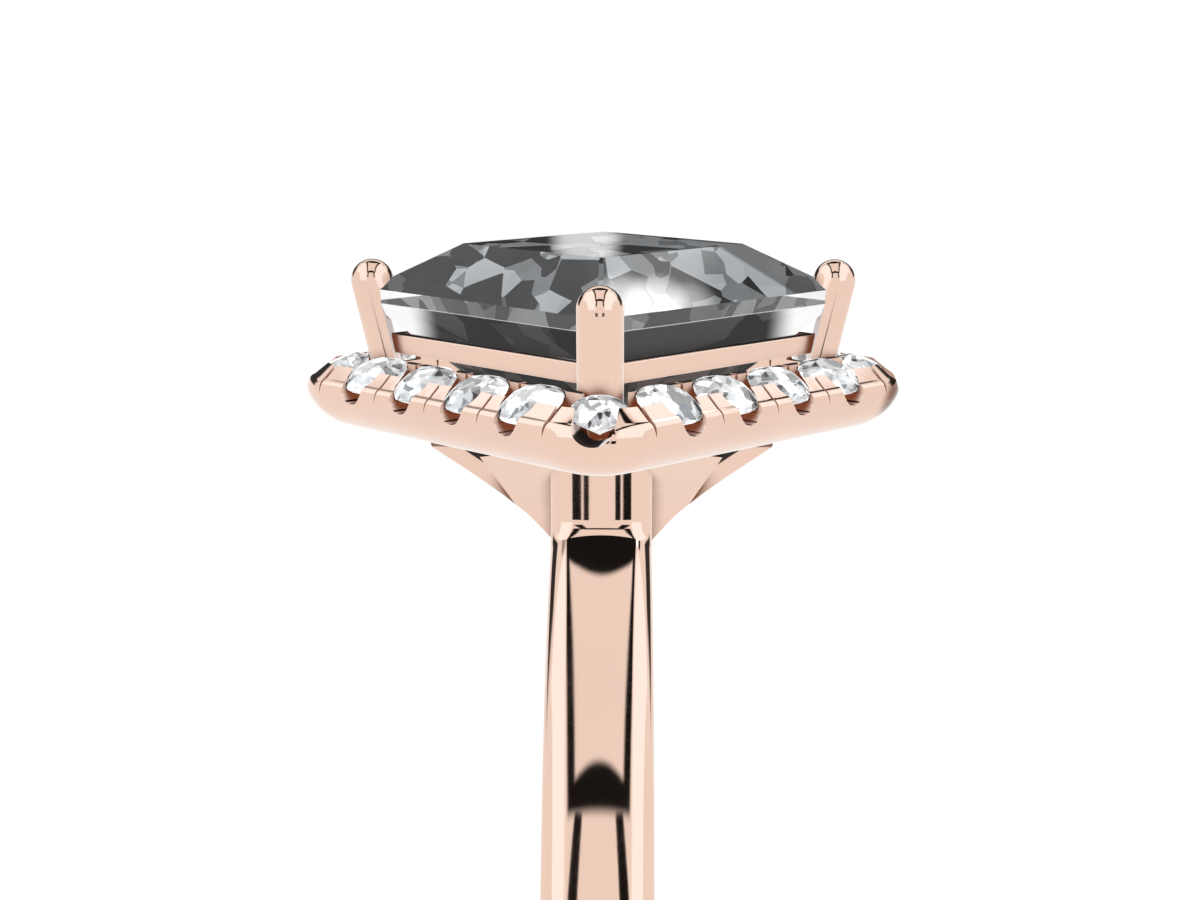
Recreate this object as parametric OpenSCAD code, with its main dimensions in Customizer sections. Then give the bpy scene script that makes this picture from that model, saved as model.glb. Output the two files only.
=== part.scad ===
// A halo ring: a polished band, a four-petal cup, and a square centre stone
// set corner to the front inside a square halo of small round stones.
// The ring is described standing up first: origin at the middle of the finger
// hole, Y along the finger, Z up through the centre stone. lay_down() then
// turns it on its side, the way a ring rests when it is put down.

/* [Band] */
// Inside diameter of the band
finger_d = 16.5; // [14:0.1:22]
// Thickness of the band between finger and outside
band_wall = 1.75; // [1.2:0.05:2.5]
// Width of the band along the finger
band_w = 2; // [1.5:0.01:3]
// How far the outside of the band is domed across its width
band_dome = 0.16; // [0.05:0.01:0.3]
// Width of the rounded shoulder along each outer edge of the band
band_edge = 0.4; // [0.2:0.05:0.6]
// Distance from the middle of the ring at which the band's shoulders stand up
riser_x = 3.2; // [2.8:0.05:3.6]
// Radius of the hollow curve from the band up into each shoulder
riser_curve = 0.3; // [0.2:0.05:1]

/* [Centre stone] */
// Side of the square centre stone
stone_side = 7; // [5:0.1:9]
// Side of the flat table on top of the stone
table_side = 4.15; // [3:0.05:5]
// Height of the crown, from the girdle up to the table
crown_h = 0.92; // [0.6:0.01:1.4]
// Height of the girdle band
girdle_h = 0.28; // [0.1:0.01:0.4]
// Depth of the pavilion, from the girdle down to the point
pavilion_h = 3.35; // [2.5:0.05:4]
// How much of each corner of the stone is cut off, along the diagonal
corner_cut = 0.14; // [0.05:0.01:0.4]
// Height of the stone's point above the top of the band
point_gap = 0.25; // [0.1:0.05:1.5]

/* [Claws and rail] */
// Diameter of the wire of each claw
claw_d = 0.88; // [0.7:0.02:1.2]
// Outward lean of each claw from upright, in degrees
claw_lean = 13; // [5:0.5:20]
// Depth of the top of each claw below the stone's table
claw_drop = 0.32; // [0.1:0.02:0.6]
// Gap between the stone's girdle and the rail under it
rail_gap = 0.67; // [0.4:0.01:1]
// Height of the square rail
rail_h = 0.4; // [0.25:0.01:0.7]
// How far the rail's outside lies in from the side of the stone
rail_inset = 0.32; // [0.2:0.01:0.6]
// Thickness of the rail at its foot
rail_w = 0.52; // [0.4:0.01:0.8]
// Thickness of the rail at its top
rail_top_w = 0.26; // [0.15:0.01:0.35]

/* [Halo] */
// Gap between the rail's outside and the halo's inside, seen from above
halo_gap = 0.36; // [0.1:0.01:0.6]
// Width of the halo from its inside to its outer crease
halo_w = 1.13; // [0.9:0.01:1.6]
// How far the outer wall swells past the crease
halo_swell = 0.17; // [0.05:0.01:0.25]
// Depth of the halo's inner tabs below the foot of the rail
halo_drop = 0.04; // [0.02:0.01:0.4]
// Fall of the halo's top from its inside to the outer crease
halo_fall = 0.36; // [0.1:0.01:0.5]
// Width of the inner tabs
rim_w = 0.2; // [0.1:0.01:0.3]
// Width of the outer tabs' sloping top
bevel_w = 0.26; // [0.15:0.01:0.35]
// Fall of that slope down to the crease
bevel_h = 0.23; // [0.15:0.01:0.3]
// Height of the outer wall from the crease to the underside
wall_h = 1.2; // [1:0.01:1.5]
// Radius of the halo's corners at the crease
halo_corner = 1.4; // [1:0.05:2]

/* [Halo stones] */
// Diameter of each small stone
small_d = 1.3; // [1:0.02:1.4]
// Diameter of the stone at each corner
corner_d = 1.1; // [0.9:0.02:1.3]
// Smallest clearance between neighbouring small stones along a side
small_space = 0.16; // [0.1:0.01:0.3]
// How far the middle of each small stone lies in from the halo's crease
small_inset = 0.52; // [0.45:0.01:0.6]
// Height of each small stone's middle above the crease
small_lift = 0.08; // [0.04:0.01:0.12]
// Outward tilt of the small stones, in degrees
small_tilt = 23; // [10:1:30]
// Width of the round-bottomed cut outside each small stone
cut_w = 0.64; // [0.4:0.01:0.8]
// Depth of that cut below the crease
cut_depth = 0.41; // [0.3:0.01:0.5]
// Width of the cut outside each corner stone
corner_cut_w = 0.8; // [0.5:0.01:1]
// Turn of the corner cuts away from straight out, in degrees
cut_turn = 10; // [0:1:20]
// Width of the fine slit that splits each tab between two stones
slit_w = 0.06; // [0.04:0.01:0.1]
// Width of the open slits on either side of a corner stone
corner_slit_w = 0.1; // [0.05:0.01:0.14]
// Depth of the slit below the crease
slit_depth = 0.3; // [0.1:0.01:0.4]
// Diameter of the light hole under each small stone
light_hole_d = 0.5; // [0.3:0.05:0.7]

/* [Cup] */
// Thickness of the cup's petals
petal_wall = 0.55; // [0.4:0.05:0.8]
// Half width of the cup where it meets the finger hole
cup_foot = 0.75; // [0.6:0.05:1]
// Half width of the cup under the halo
cup_top = 3.32; // [3.1:0.02:3.6]
// Half width of a petal at the foot of the windows
petal_half = 1.84; // [1.4:0.02:2.2]
// Outward lean of each petal's edges from upright, in degrees
petal_flare = 24; // [0:1:30]

/* [Fit] */
// Gap between every stone and the metal that holds it
seat_gap = 0.03; // [0.02:0.01:0.06]

/* [Hidden] */

finger_r = finger_d / 2;
band_r = finger_r + band_wall;

// Heights of the head, all above the middle of the finger hole
point_z = band_r + point_gap;
girdle_z = point_z + pavilion_h;
girdle_top_z = girdle_z + girdle_h;
table_z = girdle_top_z + crown_h;
rail_top_z = girdle_z - rail_gap;
rail_z = rail_top_z - rail_h;
rim_z = rail_z - halo_drop;
crease_z = rim_z - halo_fall;
small_z = crease_z + small_lift;
halo_z = crease_z - wall_h;

// Distances of the head's straight sides from the middle of the ring
stone_half = stone_side / 2;
rail_half = stone_half - rail_inset;
halo_in = rail_half + halo_gap;
halo_out = halo_in + halo_w;
row_half = halo_out - small_inset;
corner_reach = row_half * sqrt(2) - (halo_corner - small_inset) * (sqrt(2) - 1);
corner_stone_at = corner_reach - (small_d - corner_d) / 2;

// Where the swollen wall is widest, and how far its rounded corner reaches
swell_z = crease_z - 0.22 * wall_h;
corner_centre = halo_out - halo_corner;
halo_reach = corner_centre * sqrt(2) + halo_corner + halo_swell;

// Angle by which the ring leans when it lies on its side: the halo's corner
// and the far edge of the band touch the same flat surface
band_side_r = band_r - band_dome * pow(1 - 2 * band_edge / band_w, 2) - band_edge * 0.56;
lie = atan((halo_reach - band_w / 2) / (swell_z + band_side_r));

// Turn of a claw's round wire about itself, clear of the stone's corner
claw_seam = 37;
// How far inside its own middle a claw is cut flat
claw_flat = 0.12;

metal = [0.93, 0.72, 0.62];
smoky = [0.25, 0.25, 0.27];
clear_white = [0.88, 0.9, 0.92];
far = 40;

// As many small stones as fit between two corner stones, spread out evenly
row_length = corner_reach * sqrt(2);
side_stones = floor(row_length / (small_d + small_space)) - 1;
small_pitch = row_length / (side_stones + 1);

// Places of the small stones: [turn of the side, along it, out from the middle,
// is it a corner stone]. Each side ends with the corner stone it runs up to.
row_start = -(side_stones - 1) / 2 * small_pitch;
function side_seats(side) = concat(
    [for (i = [0 : side_stones - 1]) [side * 90, row_start + i * small_pitch, row_half, false]],
    [[side * 90 + 45, 0, corner_stone_at, true]]);
seats = [for (side = [0 : 3]) for (s = side_seats(side)) s];

// Moves a child to a small stone's place, with +X pointing straight out
module at_seat(s) {
    rotate(s[0] - 135) translate([s[2], s[1], small_z]) children();
}

// Tips a child outward with a small stone
module tipped() {
    rotate([0, small_tilt, 0]) children();
}

// Turns the standing ring on its side, as it rests
module lay_down() {
    rotate([90 - lie, 0, 0]) children();
}

// Points along one side of the square stone, as shares of its length
side_shares = [-0.5, -0.3, -0.13, 0, 0.13, 0.3, 0.5];

// One ring of points around a square with cut corners
function square_ring(half, cut, z, bulge = 0) = [
    for (side = [0 : 3]) for (t = side_shares)
        let (x = half + bulge * (1 - 4 * t * t), y = t * 2 * (half - cut), a = side * 90 + 45)
        [x * cos(a) - y * sin(a), x * sin(a) + y * cos(a), z]];

// One ring of points around a circle
function round_ring(n, r, z, turn = 0) =
    [for (i = [0 : n - 1]) [r * cos(i * 360 / n + turn), r * sin(i * 360 / n + turn), z]];

// Joins ring number k to ring number k + 1, both of n points, with triangles
function ring_band(n, k) = [
    for (i = [0 : n - 1])
        let (j = (i + 1) % n, a = k * n, b = (k + 1) * n)
        for (f = [[a + i, b + j, a + j], [a + i, b + i, b + j]]) f];

// The square stone: table, crown, girdle, bulging pavilion and point.
// grow makes the hollow that is cut into the claws for it.
module square_stone(grow = 0) {
    n = 4 * len(side_shares);
    half = stone_half + grow;
    cut = corner_cut * sqrt(2) / 2;
    waist_half = stone_half * 0.817 + grow;
    waist_z = girdle_z - pavilion_h * 0.21;
    points = concat(
        square_ring(table_side / 2 + grow, cut / 2, table_z + grow),
        square_ring(half, cut, girdle_top_z + grow / 2),
        square_ring(half, cut, girdle_z - grow / 2),
        square_ring(waist_half, cut * 0.8, waist_z - grow / 2),
        square_ring(waist_half * 0.52, cut * 0.5, girdle_z - pavilion_h * 0.64 - grow / 2,
                    waist_half * 0.035),
        [[0, 0, point_z - grow]]);
    tip = 5 * n;
    faces = concat(
        [[for (i = [n - 1 : -1 : 0]) i]],
        [for (k = [0 : 3]) for (f = ring_band(n, k)) [f[0], f[2], f[1]]],
        [for (i = [0 : n - 1]) [4 * n + i, 4 * n + (i + 1) % n, tip]]);
    polyhedron(points, [for (f = faces) [for (i = [len(f) - 1 : -1 : 0]) f[i]]], convexity = 4);
}

// Proportions of a small round stone, as shares of its diameter
small_crown = 0.155;
small_girdle = 0.04;
small_pavilion = 0.43;

// A small round brilliant: octagon table, star and kite facets, a sixteen
// sided girdle, and a pavilion of long facets that end in a point
module round_stone(d) {
    r = d / 2;
    top = small_girdle * d;
    points = concat(
        round_ring(8, r * 0.56, top + small_crown * d),
        round_ring(8, r * 0.79, top + small_crown * d * 0.52, 22.5),
        round_ring(16, r, top),
        round_ring(16, r, 0),
        round_ring(8, r * 0.24, -small_pavilion * d * 0.76, 22.5),
        [[0, 0, -small_pavilion * d]]);
    star = 8;
    girdle = 16;
    foot = 32;
    low = 48;
    tip = 56;
    faces = concat(
        [[for (i = [7 : -1 : 0]) i]],
        [for (i = [0 : 7]) let (j = (i + 1) % 8) [i, j, star + i]],
        [for (i = [0 : 7]) let (h = (i + 7) % 8) each [
            [i, star + i, girdle + 2 * i], [i, girdle + 2 * i, star + h]]],
        [for (i = [0 : 7]) let (g = girdle + 2 * i, k = girdle + (2 * i + 2) % 16) each [
            [star + i, g + 1, g], [star + i, k, g + 1]]],
        [for (i = [0 : 15]) let (j = (i + 1) % 16) each [
            [girdle + i, girdle + j, foot + j], [girdle + i, foot + j, foot + i]]],
        [for (i = [0 : 7]) let (g = foot + 2 * i, k = foot + (2 * i + 2) % 16) each [
            [low + i, g, g + 1], [low + i, g + 1, k]]],
        [for (i = [0 : 7]) let (g = foot + (2 * i + 2) % 16, j = (i + 1) % 8) each [
            [low + i, g, low + j], [low + i, low + j, tip]]]);
    polyhedron(points, faces, convexity = 4);
}

// Share of its width by which the rounded shoulder falls
band_edge_fall = 0.75;

// The domed face across the band from edge to edge: [depth below the top, place]
function dome_fall(y) = band_dome * pow(y / (band_w / 2), 2);
function face_edge(flat) = [for (a = [90 : -15 : 15])
    [dome_fall(flat) + band_edge * (1 - cos(a)) * band_edge_fall, flat + band_edge * sin(a)]];
function face_points(flat) = concat(
    face_edge(flat),
    [for (t = [1 : -0.25 : -1]) [dome_fall(t * flat), t * flat]],
    [for (i = [len(face_edge(flat)) - 1 : -1 : 0]) [face_edge(flat)[i][0], -face_edge(flat)[i][1]]]);
band_face = face_points(band_w / 2 - band_edge);

// Outline across the band: flat inside, domed outside with rounded shoulders
module band_section() {
    half = band_w / 2;
    inner_edge = band_edge / 4;
    polygon(concat(
        [[finger_r + inner_edge, -half], [finger_r, -half + inner_edge],
         [finger_r, half - inner_edge], [finger_r + inner_edge, half]],
        [for (p = band_face) [band_r - p[0], p[1]]]));
}

// The band as a full ring, its axis along the finger
module band() {
    rotate([90, 0, 0]) rotate_extrude($fn = 180) band_section();
}

// One shoulder of the band, which leaves it in a hollow curve and stands up
// along the cup to the underside of the halo
module riser() {
    deep = 0.8;
    sink = 0.004;
    across = riser_x + riser_curve;
    z = sqrt(pow(band_r + riser_curve - sink, 2) - across * across);
    start_x = across * band_r / (band_r + riser_curve);
    half = band_w / 2;
    intersection() {
        translate([across, 0, z]) rotate([90, 0, 0]) rotate_extrude($fn = 96)
            polygon(concat([for (p = band_face) [riser_curve + p[0], p[1]]],
                           [[riser_curve + deep, -half], [riser_curve + deep, half]]));
        translate([0, -half - 1, z - 2]) cube([start_x, band_w + 2, 2]);
    }
    translate([0, 0, z]) linear_extrude(halo_z + 0.1 - z)
        polygon(concat([for (p = band_face) [riser_x - p[0], p[1]]],
                       [[riser_x - deep, -half], [riser_x - deep, half]]));
}

// Outside of the cup from its foot to the halo: shares of its spread and rise
cup_rows = [[0, 0], [0.09, 0.16], [0.19, 0.29], [0.3, 0.43], [0.44, 0.57], [0.7, 0.78], [1, 1]];
cup_rise = halo_z - finger_r;
cup_slope = 0.78;
claw_root_z = halo_z + 0.55;

// Side view of the cup, moved in by the given amount, up to the claws' roots
module cup_view(inset) {
    half = concat(
        [[cup_foot - inset, finger_r - 0.4]],
        [for (r = cup_rows)
            [max(0.05, cup_foot + (cup_top - cup_foot) * r[0] - inset), finger_r + cup_rise * r[1]]],
        [[cup_top - inset + (claw_root_z + inset - halo_z) / cup_slope, claw_root_z + inset]]);
    polygon(concat(half, [for (i = [len(half) - 1 : -1 : 0]) [-half[i][0], half[i][1]]]));
}

// Solid form of the cup: the same side view from the front and from the side
module cup_form(inset) {
    intersection() {
        rotate([90, 0, 0]) linear_extrude(far, center = true) cup_view(inset);
        rotate([90, 0, 90]) linear_extrude(far, center = true) cup_view(inset);
    }
}

// One window of the cup: what lies outside the edges of two petals
module cup_window() {
    window_z = finger_r + cup_rise * cup_rows[4][1] + 0.05;
    intersection() {
        translate([petal_half, 0, window_z]) rotate([0, petal_flare, 0])
            translate([0, -far / 2, -far / 2]) cube(far);
        translate([0, petal_half, window_z]) rotate([-petal_flare, 0, 0])
            translate([-far / 2, 0, -far / 2]) cube(far);
    }
}

// The cup: four petals that rise from the band, under the halo and on inside
// it to the claws
module cup() {
    inside = halo_in + 0.1;
    difference() {
        intersection() {
            cup_form(0);
            union() {
                translate([-far / 2, -far / 2, 0]) cube([far, far, halo_z + 0.1]);
                rotate(45) translate([-inside, -inside, 0]) cube([2 * inside, 2 * inside, far]);
            }
        }
        translate([0, 0, 0.1]) cup_form(petal_wall);
        for (a = [0 : 90 : 270]) rotate(a) cup_window();
    }
}

// The square rail below the stone's girdle, its inside sloping like the stone
module rail() {
    slope = (rail_w - rail_top_w) / rail_h;
    foot_in = rail_half - rail_w - slope;
    top_in = foot_in + slope * (rail_h + 2);
    rotate(45) difference() {
        translate([-rail_half, -rail_half, rail_z]) cube([2 * rail_half, 2 * rail_half, rail_h]);
        translate([0, 0, rail_z - 1]) linear_extrude(rail_h + 2, scale = top_in / foot_in)
            square(2 * foot_in, center = true);
    }
}

// One leaning claw with its domed tip, out along +X, through the rail's corner.
// Its inner side is cut flat, and a notch in it takes the stone's corner.
module claw() {
    foot_z = claw_root_z - 0.25;
    axis_x = rail_half * sqrt(2);
    axis_z = (rail_z + rail_top_z) / 2;
    tip_z = table_z - claw_drop - claw_d / 2;
    reach = (tip_z - axis_z) / cos(claw_lean);
    root = (axis_z - foot_z) / cos(claw_lean);
    flat_top = (girdle_z - axis_z) / cos(claw_lean);
    difference() {
        translate([axis_x, 0, axis_z]) rotate([0, claw_lean, 0]) difference() {
            rotate(claw_seam) rotate_extrude($fn = 48) claw_profile(root, reach);
            translate([-claw_flat - 1, -1, -root - 1]) cube([1, 2, root + 1 + flat_top]);
        }
        rotate(45) stone_hollow();
    }
}

// Half of a claw seen from the side: a straight wire with a round end
module claw_profile(root, reach) {
    intersection() {
        union() {
            translate([-claw_d, -root]) square([claw_d * 1.5, reach + root]);
            translate([0, reach]) circle(d = claw_d, $fn = 48);
        }
        translate([0, -root - 1]) square([claw_d, root + reach + claw_d + 1]);
    }
}

// The hollow in the claws for the stone: crown, girdle and the pavilion's top,
// each with the gap that the stone keeps
module stone_hollow() {
    side = stone_side + 2 * seat_gap;
    waist = side * 0.817;
    waist_h = pavilion_h * 0.21;
    crown_top = (table_side - stone_side) * 1.2 + side;
    translate([0, 0, girdle_z - seat_gap]) linear_extrude(girdle_h + 2 * seat_gap)
        square(side, center = true);
    translate([0, 0, girdle_top_z + seat_gap / 2])
        linear_extrude(crown_h * 1.2, scale = crown_top / side) square(side, center = true);
    translate([0, 0, girdle_z - seat_gap / 2]) mirror([0, 0, 1])
        linear_extrude(waist_h, scale = waist / side) square(side, center = true);
}

// Outer wall of the halo down from the crease: shares of its swell and height
wall_rows = [[0.45, 0.04], [0.8, 0.1], [1, 0.22], [0.9, 0.33], [0.58, 0.43], [0.1, 0.54],
             [-0.6, 0.65], [-1.5, 0.75], [-2.6, 0.84], [-4.2, 0.92], [-7, 1]];

// Half outline of the halo's solid form, out from a centre line at x = 0 to
// a crease at distance r
function halo_outline(r) = concat(
    [[0, crease_z + bevel_h], [r - bevel_w, crease_z + bevel_h], [r, crease_z]],
    [for (w = wall_rows) [r + halo_swell * w[0], crease_z - wall_h * w[1]]],
    [[0, halo_z]]);

// Halo seen as a filled block with rounded corners and a swollen wall
module halo_block() {
    side = corner_centre;
    for (a = [0, 90]) rotate(a) rotate([90, 0, 0])
        linear_extrude(2 * side, center = true) polygon(concat(
            halo_outline(halo_out),
            [for (p = [for (i = [len(halo_outline(halo_out)) - 1 : -1 : 0])
                halo_outline(halo_out)[i]]) [-p[0], p[1]]]));
    for (a = [0 : 90 : 270]) rotate(a) translate([side, side, 0])
        rotate_extrude($fn = 64) polygon(halo_outline(halo_corner));
}

// A square frame around the head, between two distances and two heights
module frame_block(inside, outside, low, high) {
    difference() {
        translate([-outside, -outside, low]) cube([2 * outside, 2 * outside, high - low]);
        translate([-inside, -inside, low - 1]) cube([2 * inside, 2 * inside, high - low + 2]);
    }
}

// The halo's bar all round, with a bed for the stones between its two rims
module halo_bar() {
    bed_out = corner_centre + halo_corner - bevel_w;
    rotate(45) difference() {
        union() {
            difference() {
                halo_block();
                bed();
            }
            frame_block(halo_in, halo_in + rim_w, halo_z + wall_h / 2, rim_z);
        }
        translate([-halo_in, -halo_in, halo_z - 1]) cube([2 * halo_in, 2 * halo_in, far]);
    }
}

// What is hollowed out between the two rims, down to the stones' middles
module bed() {
    r = halo_corner - bevel_w;
    floor_z = small_z - small_inset * tan(small_tilt) / 2;
    translate([0, 0, floor_z]) linear_extrude(1) union() {
        square([2 * (corner_centre + r), 2 * corner_centre], center = true);
        square([2 * corner_centre, 2 * (corner_centre + r)], center = true);
        for (x = [-1, 1]) for (y = [-1, 1])
            translate([x * corner_centre, y * corner_centre]) circle(r, $fn = 64);
    }
}

// What is cut away for one small stone: its own form, a light hole below it,
// and a round-bottomed cut across both rims that shows its side
module small_seat(s) {
    d = s[3] ? corner_d : small_d;
    r = d / 2 + seat_gap;
    top = small_girdle * d + seat_gap;
    depth = small_pavilion * d + seat_gap;
    crown = small_crown * d;
    tipped() {
        translate([0, 0, -depth]) cylinder(r1 = 0.01, r2 = r, h = depth, $fn = 32);
        translate([0, 0, -0.001]) cylinder(r = r, h = top + 0.002, $fn = 32);
        translate([0, 0, top]) cylinder(r1 = r, r2 = r * 0.6, h = crown, $fn = 32);
        translate([0, 0, -depth - 1.5]) cylinder(d = light_hole_d, h = 2, $fn = 24);
    }
    w = s[3] ? corner_cut_w : cut_w;
    cut_z = w / 2 - cut_depth - small_lift;
    rotate(s[3] ? -cut_turn : 0) {
        translate([0, 0, cut_z]) rotate([0, 90, 0]) cylinder(d = w, h = 2, $fn = 32);
        translate([0, -w / 2, cut_z]) cube([2, w, 2]);
        translate([-1.5, -w / 2, 0]) cube([2, w, 2]);
    }
}

// The slit between two stones, a V that runs down the outer wall
module tab_slit(w) {
    translate([0, 0, crease_z]) rotate([90, 0, 90]) linear_extrude(3, center = true)
        polygon([[-w, 1], [-w / 2, 0], [0, -slit_depth], [w / 2, 0], [w, 1]]);
}

// Slits stand halfway between neighbouring cuts, and beside the corner stones
module slits() {
    open = corner_centre + 0.1;
    for (side = [0 : 3]) rotate(side * 90 - 135) {
        for (i = [1 : side_stones - 1])
            translate([row_half, row_start + (i - 0.5) * small_pitch, 0]) tab_slit(slit_w);
        for (y = [-open, open]) translate([row_half, y, 0]) tab_slit(corner_slit_w);
    }
}

// All the metal, soldered into one piece
module gold_mounting() {
    color(metal) lay_down() difference() {
        union() {
            band();
            for (a = [0, 180]) rotate(a) riser();
            cup();
            rail();
            for (a = [0 : 90 : 270]) rotate(a) claw();
            difference() {
                halo_bar();
                for (s = seats) at_seat(s) small_seat(s);
                slits();
            }
        }
        rotate([90, 0, 0]) cylinder(r = finger_r, h = far, center = true, $fn = 180);
    }
}

// The smoky square stone in the middle
module center_stone() {
    color(smoky) lay_down() square_stone();
}

// One small white stone of the halo
module halo_stone(i) {
    color(clear_white) lay_down() at_seat(seats[i]) tipped()
        round_stone(seats[i][3] ? corner_d : small_d);
}

gold_mounting();
center_stone();
for (i = [0 : len(seats) - 1])
    halo_stone(i);
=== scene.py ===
# %% [markdown]
# # A halo ring, lying on its side
#
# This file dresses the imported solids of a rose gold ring: a plain band, a cup of four petals, a
# square halo of small white stones and a smoky square stone in four claws. The cells below go
# through it piece by piece, each with the reason for the way it is made.

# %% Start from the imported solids
import math

import bmesh
import bpy
import mathutils
import numpy as np
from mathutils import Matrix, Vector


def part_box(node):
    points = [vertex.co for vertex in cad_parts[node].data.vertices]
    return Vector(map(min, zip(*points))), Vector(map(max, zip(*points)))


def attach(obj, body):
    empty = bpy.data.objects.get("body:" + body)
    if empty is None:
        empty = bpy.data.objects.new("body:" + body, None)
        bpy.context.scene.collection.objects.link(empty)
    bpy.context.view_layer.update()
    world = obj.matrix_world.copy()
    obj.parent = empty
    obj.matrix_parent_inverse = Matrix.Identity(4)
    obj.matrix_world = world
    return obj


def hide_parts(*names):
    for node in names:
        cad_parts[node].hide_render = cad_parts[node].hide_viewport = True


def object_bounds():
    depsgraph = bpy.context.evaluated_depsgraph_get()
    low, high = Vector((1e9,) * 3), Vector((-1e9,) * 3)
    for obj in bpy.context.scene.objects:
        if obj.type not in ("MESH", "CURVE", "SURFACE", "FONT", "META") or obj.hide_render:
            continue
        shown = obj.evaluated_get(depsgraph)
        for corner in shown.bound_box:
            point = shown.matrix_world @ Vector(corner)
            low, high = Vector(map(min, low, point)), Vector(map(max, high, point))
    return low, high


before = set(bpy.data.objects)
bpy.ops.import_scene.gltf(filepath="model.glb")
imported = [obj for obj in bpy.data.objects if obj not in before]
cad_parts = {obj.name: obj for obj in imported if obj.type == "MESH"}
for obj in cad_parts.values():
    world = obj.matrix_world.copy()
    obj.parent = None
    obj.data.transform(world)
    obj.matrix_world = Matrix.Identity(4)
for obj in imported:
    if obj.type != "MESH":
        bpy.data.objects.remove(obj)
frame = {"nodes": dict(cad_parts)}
nodes = frame["nodes"]
cad_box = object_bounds()
print("solids:", len(nodes), "box:", [[round(v, 4) for v in corner] for corner in cad_box])

# %% [markdown]
# A jeweller thinks of a ring standing up: the finger along one axis, the stone on top. The solids
# lie on their side instead, as a ring rests on a table. Points could be given lying down, but then
# no size would be a plain number. So every piece is worked out standing, in millimetres, and one
# turn about X lays it down. X runs across the band, Y along the finger and Z up through the stone.
# The sizes repeat those of the solids.

# %% Sizes of the ring, in millimetres, standing up
LEAN = math.radians(13.5314)
FINGER_R, BAND_R, BAND_HALF = 8.25, 10.0, 1.0
RISER_X, RISER_CURVE = 3.2, 0.3
TABLE_Z, GIRDLE_TOP_Z, GIRDLE_Z = 14.8, 13.88, 13.6
RAIL_TOP_Z, RAIL_Z, RIM_Z, CREASE_Z, HALO_Z = 12.93, 12.53, 12.49, 12.13, 10.93
RAIL_HALF, HALO_IN, HALO_OUT = 3.18, 3.54, 4.67
DIAGONAL = math.sqrt(2)


def laid_down(points):
    """Turns standing points in millimetres into resting points in metres: a turn of 90 degrees
    less the lean about X, so up becomes mostly -Y and the finger's line becomes mostly Z."""
    x, y, z = np.moveaxis(np.asarray(points, float), -1, 0)
    s, c = math.sin(LEAN), math.cos(LEAN)
    return np.stack([x, y * s - z * c, y * c + z * s], axis=-1) / 1000


def turned(points, degrees):
    """Turns standing points about the line up through the stone, by the usual cosine and sine."""
    a = math.radians(degrees)
    x, y, z = np.moveaxis(np.asarray(points, float), -1, 0)
    s, c = math.sin(a), math.cos(a)
    return np.stack([x * c - y * s, x * s + y * c, z], axis=-1)


stone_box = np.array(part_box("center_stone")) * 1000
print("centre stone box, mm:", stone_box.round(2).tolist())

# %% [markdown]
# Nearly all the metal is drawn wire or bar: one outline carried along a path. Blender's curves can
# carry an outline too, but it can only grow or shrink on its way. In a grid of rings of points it
# can change its form, and Blender gets the vertices and faces as whole arrays. The ends are left
# open for a closed path, and otherwise closed with one flat face each.

# %% One skin for everything that is swept
def grid_faces(rings, points, loop):
    """Quads between neighbouring rings: point p of ring r joins p + 1 and the ring after it."""
    r = np.arange(rings if loop else rings - 1)[:, None]
    p = np.arange(points)[None, :]
    after, beside = (r + 1) % rings, (p + 1) % points
    quads = [r * points + p, r * points + beside, after * points + beside, after * points + p]
    return np.stack(np.broadcast_arrays(*quads), axis=-1).reshape(-1, 4)


def skin(rings, loop=False):
    """Vertices and faces of a swept form from rings of points, shape (rings, points, 3)."""
    count, points = rings.shape[:2]
    faces = grid_faces(count, points, loop).tolist()
    if not loop:
        faces.append(list(range(points))[::-1])
        faces.append(list(range((count - 1) * points, count * points)))
    return rings.reshape(-1, 3), faces


def joined(parts):
    """Several skins as one: each part's faces count on from the vertices before it."""
    starts = np.cumsum([0] + [len(v) for v, f in parts[:-1]])
    faces = [[int(i + s) for i in face] for (v, f), s in zip(parts, starts) for face in f]
    return np.concatenate([v for v, f in parts]), faces


def new_mesh(name, vertices, faces):
    """A mesh object with its place in its mesh and its faces turned outward."""
    mesh = bpy.data.meshes.new(name)
    mesh.from_pydata(laid_down(vertices).tolist(), [], faces)
    edit = bmesh.new()
    edit.from_mesh(mesh)
    bmesh.ops.recalc_face_normals(edit, faces=edit.faces)
    edit.to_mesh(mesh)
    edit.free()
    made = bpy.data.objects.new(name, mesh)
    bpy.context.scene.collection.objects.link(made)
    mesh.update()
    return made


print("check, three rings of four points give", len(skin(np.zeros((3, 4, 3)))[1]), "faces")

# %% [markdown]
# The sides of the cup and of the halo are soft curves. They could be arcs, but then each join
# would need care. A smooth outline needs only a few measured points, and a Catmull-Rom curve
# passes through each of them, with a direction at each point that follows its two neighbours, so
# nothing kinks.

# %% Smooth curves through a few points
def curve_through(points, steps):
    """Catmull-Rom: between two points the place is a cubic in t, weighted over four neighbours."""
    p = np.asarray(points, float)
    p = np.vstack([2 * p[0] - p[1], p, 2 * p[-1] - p[-2]])
    t = np.linspace(0, 1, steps, endpoint=False)[:, None, None]
    a, b, c, d = p[:-3], p[1:-2], p[2:-1], p[3:]
    line = 2 * b + (c - a) * t + (2 * a - 5 * b + 4 * c - d) * t**2 + (3 * b - a - 3 * c + d) * t**3
    return np.vstack([(line / 2).transpose(1, 0, 2).reshape(-1, p.shape[1]), p[-2]])


print("check, the curve keeps its ends:", curve_through([[0, 0], [1, 1], [2, 0]], 4)[[0, -1]].tolist())

# %% [markdown]
# The band is a flat-backed wire bent round a mandrel. Its two ends don't close: each leaves the
# round in a hollow curve and stands up along the cup to the halo. A round and two posts could be
# melted together with a Boolean, but the polish would show the seam. So the outside path does all
# of it and the inside path stays on the finger hole, and the band and both standing ends are one
# closed skin. Across it, the outside is a low dome with rolled edges.

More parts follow.
